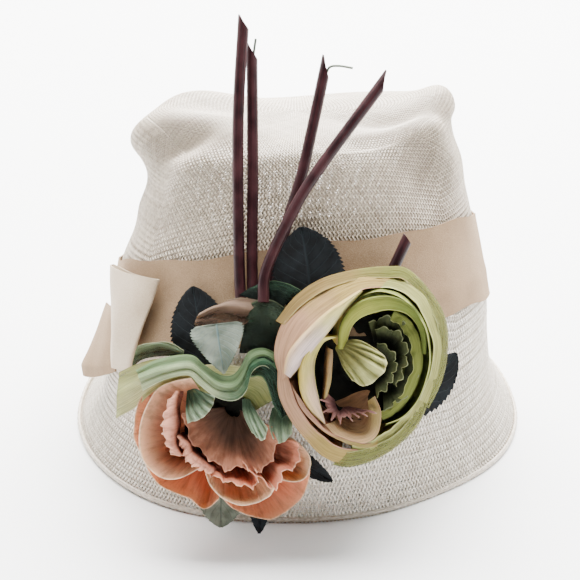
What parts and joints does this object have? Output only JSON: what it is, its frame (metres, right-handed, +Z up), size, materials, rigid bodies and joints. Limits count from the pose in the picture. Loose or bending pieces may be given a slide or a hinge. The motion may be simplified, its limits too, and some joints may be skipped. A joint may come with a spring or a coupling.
{
  "type": "woven straw cloche hat",
  "caption": "Woven straw cloche hat with a soft dented crown, short flared brim, velvet ribbon band and a spray of fabric flowers, leaves and tube stems.",
  "frame": {"origin": "middle of the hat's outline seen from above, on the surface that the brim's edge stands on", "axes": "+Z up, the flowers and the deep front of the brim towards -Y, +X to the right seen from the front"},
  "size_m": [0.216, 0.2178, 0.1983],
  "materials": {
    "cream": "cream petal cloth",
    "dark_green": "dark green petal cloth",
    "green": "olive green petal cloth",
    "leaf": "stiffened dark cloth",
    "leaf_under": "stiffened grey-green cloth",
    "mauve": "dusky mauve petal cloth",
    "peach": "soft peach petal cloth",
    "sheer": "thin sheer green cloth",
    "stem": "dull burgundy tube",
    "straw": "glossy plain weave of pale straw strands",
    "velvet": "short pile velvet ribbon",
    "wire": "fine green-grey wire"
  },
  "bodies": {
    "root": {"brim": "straw", "crown": "straw", "leaf_left": "leaf", "leaf_low": "leaf", "leaf_low_left": "leaf_under", "leaf_low_right": "leaf", "leaf_right": "leaf", "leaf_top": "leaf", "leaf_under": "leaf_under", "organza": "leaf", "ranunculus_core": "dark_green", "ranunculus_crumple": "mauve", "ranunculus_disc": "cream", "ranunculus_fan": "sheer", "ranunculus_inner_left": "cream", "ranunculus_inner_right": "green", "ranunculus_middle_left": "cream", "ranunculus_middle_low": "green", "ranunculus_middle_right": "green", "ranunculus_outer_left": "mauve", "ranunculus_outer_low": "mauve", "ranunculus_outer_low_right": "green", "ranunculus_outer_right": "green", "ranunculus_outer_top": "green", "ranunculus_ruffle_inner": "dark_green", "ranunculus_ruffle_outer": "dark_green", "ribbon_band": "velvet", "ribbon_loop": "velvet", "ribbon_tail": "velvet", "rose_core": "dark_green", "rose_fan_left": "sheer", "rose_fan_right": "sheer", "rose_inner_left": "peach", "rose_inner_right": "peach", "rose_middle_left": "peach", "rose_middle_low": "peach", "rose_middle_right": "peach", "rose_outer_left": "peach", "rose_outer_low": "peach", "rose_outer_low_left": "peach", "rose_outer_low_right": "peach", "rose_outer_right": "peach", "rose_outer_top": "sheer", "sheer_dark": "sheer", "sheer_left": "sheer", "sheer_mint": "sheer", "stem_1": "stem", "stem_2": "stem", "stem_3": "stem", "stem_4": "stem", "stem_5": "stem", "wire_2": "wire", "wire_3": "wire"}
  },
  "joints": []
}
